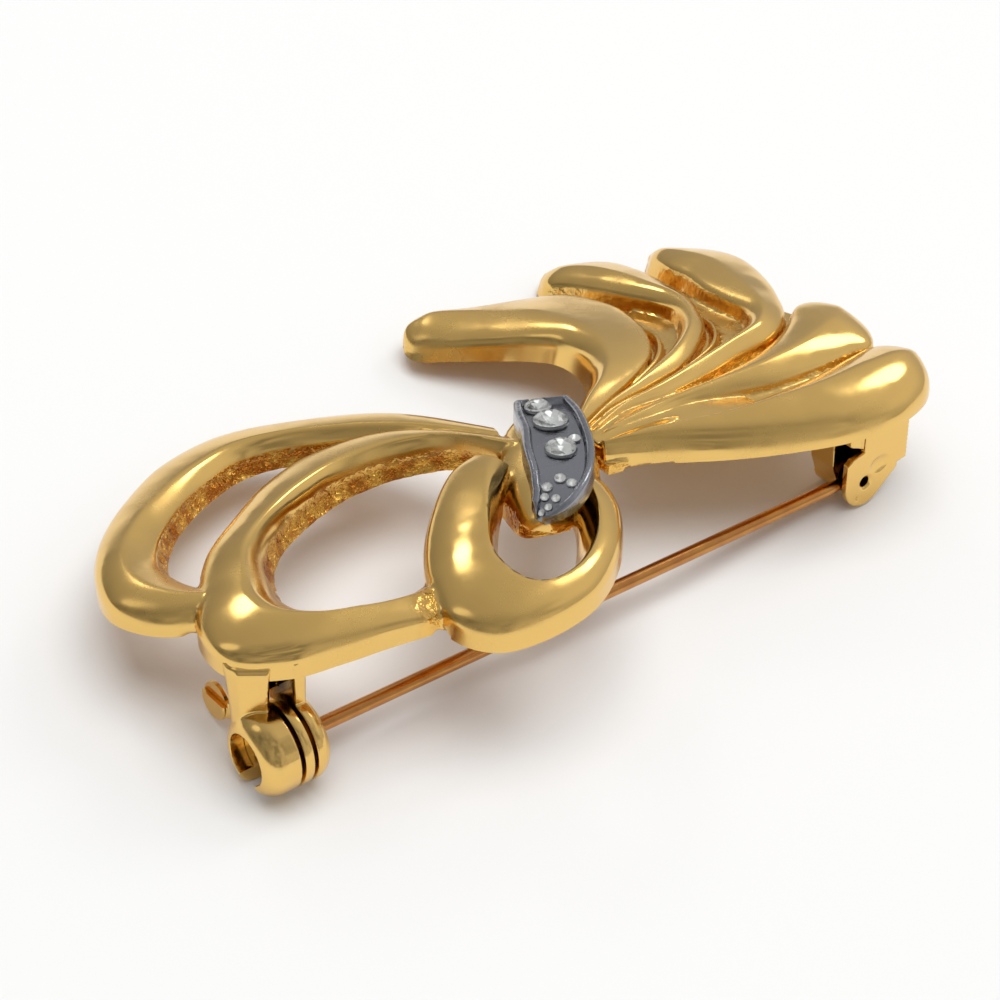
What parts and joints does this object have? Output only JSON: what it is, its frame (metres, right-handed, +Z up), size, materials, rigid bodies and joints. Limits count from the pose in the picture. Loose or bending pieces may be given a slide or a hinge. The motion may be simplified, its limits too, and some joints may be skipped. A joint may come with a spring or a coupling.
{
  "type": "bow brooch",
  "caption": "Cast gold-tone bow brooch: looped ribbons on one side, a fan of ribbon tails on the other, a stone-set knot, and a hinged pin with a rolling safety catch behind.",
  "frame": {"origin": "middle of the brooch's footprint, on the surface that it lies on, face up", "axes": "+X from the loops and the catch to the fan of tails and the hinge, +Y from the pin towards the far edge, +Z up from the surface"},
  "size_m": [0.0592, 0.0346, 0.0122],
  "materials": {
    "gold_casting": "polished gold plate",
    "dark_setting": "polished dark grey plate",
    "stone": "clear faceted rhinestone with a foiled back",
    "gold_findings": "bright gold plate",
    "gold_wire": "drawn wire, worn gold plate"
  },
  "bodies": {
    "bow": {"bow_casting": "gold_casting", "knot_setting": "dark_setting", "stone_1": "stone", "stone_2": "stone", "stone_3": "stone", "stone_4": "stone", "stone_5": "stone", "stone_6": "stone", "stone_7": "stone", "stone_8": "stone", "stone_9": "stone", "stone_10": "stone", "stone_11": "stone", "hinge_rivet": "gold_findings"},
    "pin": {"pin_stem": "gold_wire"},
    "roller": {"catch_roller": "gold_findings"}
  },
  "joints": [
    {"name": "pin_hinge", "type": "hinge", "parent": "bow", "child": "pin", "pos_m": [0.0232, -0.01193, 0.00192], "axis": [0, -0.9828, 0.1846], "range_deg": [0, 90]},
    {"name": "catch_turn", "type": "hinge", "parent": "bow", "child": "roller", "pos_m": [-0.0245, -0.01177, 0.0028], "axis": [-1, 0, 0], "range_deg": [0, 100]}
  ]
}
